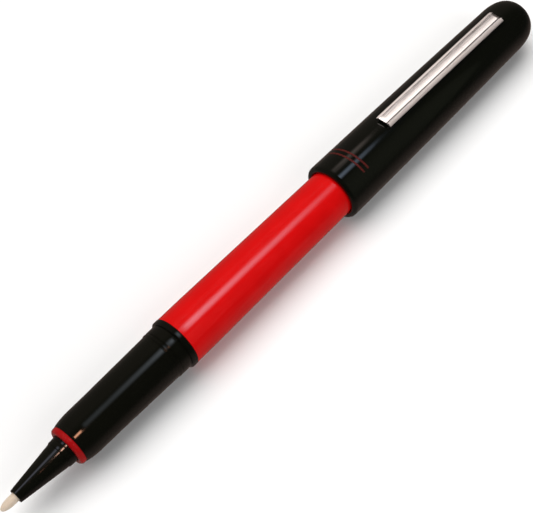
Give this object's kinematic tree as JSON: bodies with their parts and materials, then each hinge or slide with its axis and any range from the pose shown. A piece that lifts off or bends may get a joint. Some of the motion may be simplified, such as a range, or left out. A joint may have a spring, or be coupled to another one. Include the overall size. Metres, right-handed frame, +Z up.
{
  "type": "calligraphy marker",
  "caption": "Refillable calligraphy marker with a fibre nib, a red screw-off barrel over its ink cartridge, and a black cap with a steel clip posted on the tail.",
  "frame": {"origin": "on the surface that the pen lies on, below the middle of its posted length", "axes": "+X along the pen from the nib to the cap's closed end, +Z up through the clip, +Y completes the right hand"},
  "size_m": [0.1654, 0.014, 0.015],
  "materials": {
    "nib_fibre": "dense bonded fibre, cream, ground to a rounded point",
    "wick_fibre": "bonded fibre rod with fine lengthwise grain",
    "black_plastic": "moulded, highly polished",
    "ring_red": "moulded, polished, dark red",
    "barrel_red": "moulded, highly polished bright red",
    "collector_plastic": "fine matt moulding, stained by ink",
    "feed_plastic": "natural moulded plastic",
    "cartridge_plastic": "translucent moulded tube",
    "plug_plastic": "translucent moulded plug",
    "ball_plastic": "small moulded ball",
    "ink": "dark red ink",
    "liner_plastic": "soft natural moulded liner",
    "clip_steel": "stainless strip, polished along its length"
  },
  "bodies": {
    "section": {"grip_section": "black_plastic", "nose_ring": "ring_red", "collector": "collector_plastic", "feed_tube": "feed_plastic"},
    "nib_unit": {"nib_holder": "black_plastic", "nib_tip": "nib_fibre", "feed_wick": "wick_fibre"},
    "centre_ring": {"centre_ring": "black_plastic"},
    "barrel": {"barrel": "barrel_red"},
    "cartridge": {"cartridge_tube": "cartridge_plastic", "cartridge_tail_plug": "plug_plastic", "seal_ball": "ball_plastic", "ink": "ink"},
    "cap": {"cap_shell": "black_plastic", "inner_cap": "liner_plastic"},
    "clip": {"clip": "clip_steel"}
  },
  "joints": [
    {"name": "nib_pull", "type": "slide", "parent": "section", "child": "nib_unit", "axis": [-1, 0, 0], "range_m": [0, 0.036]},
    {"name": "barrel_turn", "type": "hinge", "parent": "section", "child": "centre_ring", "pos_m": [-0.03517, 0, 0.007], "axis": [1, 0, 0], "range_deg": [0, 1350]},
    {"name": "barrel_pull", "type": "slide", "parent": "centre_ring", "child": "barrel", "axis": [1, 0, 0], "range_m": [0, 0.07]},
    {"name": "cartridge_pull", "type": "slide", "parent": "section", "child": "cartridge", "axis": [1, 0, 0], "range_m": [0, 0.013]},
    {"name": "cap_pull", "type": "slide", "parent": "barrel", "child": "cap", "axis": [1, 0, 0], "range_m": [0, 0.026]},
    {"name": "clip_flex", "type": "hinge", "parent": "cap", "child": "clip", "pos_m": [0.07284, 0, 0.0126], "axis": [0, 1, 0], "range_deg": [0, 2.5], "stiffness_Nm_per_rad": 3}
  ]
}
